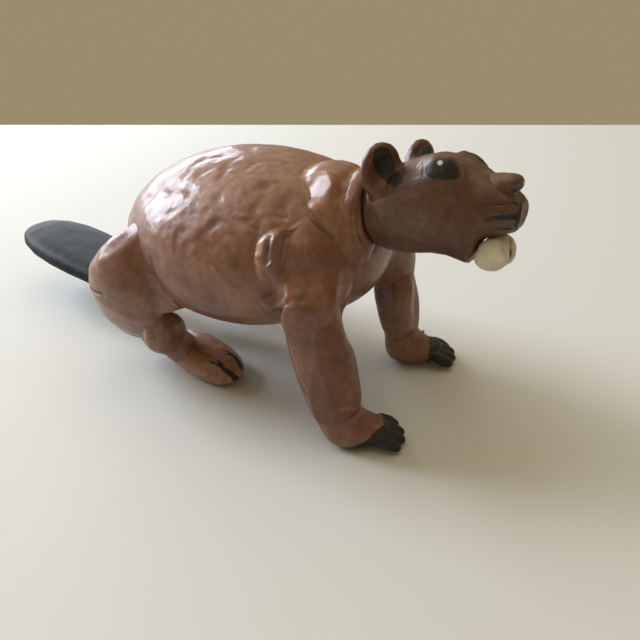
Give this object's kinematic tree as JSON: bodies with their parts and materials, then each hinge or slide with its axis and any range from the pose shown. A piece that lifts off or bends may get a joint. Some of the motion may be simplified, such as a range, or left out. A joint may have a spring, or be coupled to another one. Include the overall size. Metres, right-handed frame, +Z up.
{
  "type": "beaver sculpture",
  "caption": "Beaver figure made of glued river pebbles painted brown and varnished, with a flat dark tail stone, clawed paws, round ears and two pale teeth.",
  "frame": {"origin": "on the floor under the middle of the whole figure's bounding box", "axes": "+X towards the nose, +Y towards the beaver's left side, +Z up"},
  "size_m": [0.1956, 0.0764, 0.0818],
  "materials": {
    "varnished_brown": "brown paint under glossy varnish on river stone and putty",
    "dark_stone": "bare dark blue-grey river stone under satin varnish",
    "cream_stone": "bare cream pebble, satin"
  },
  "bodies": {
    "root": {"body_stone": "varnished_brown", "tail_stone": "dark_stone", "tail_root": "varnished_brown", "head_stone": "varnished_brown", "throat_stone": "varnished_brown", "neck_stone": "varnished_brown", "nose_stone": "varnished_brown", "right_ear": "varnished_brown", "right_tooth": "cream_stone", "left_ear": "varnished_brown", "left_tooth": "cream_stone", "right_shoulder_stone": "varnished_brown", "right_foreleg_stone": "varnished_brown", "right_front_paw": "varnished_brown", "left_shoulder_stone": "varnished_brown", "left_foreleg_stone": "varnished_brown", "left_front_paw": "varnished_brown", "right_hind_foot": "varnished_brown", "right_ankle_stone": "varnished_brown", "right_hind_leg_stone": "varnished_brown", "left_hind_foot": "varnished_brown", "left_ankle_stone": "varnished_brown", "left_hind_leg_stone": "varnished_brown"}
  },
  "joints": []
}
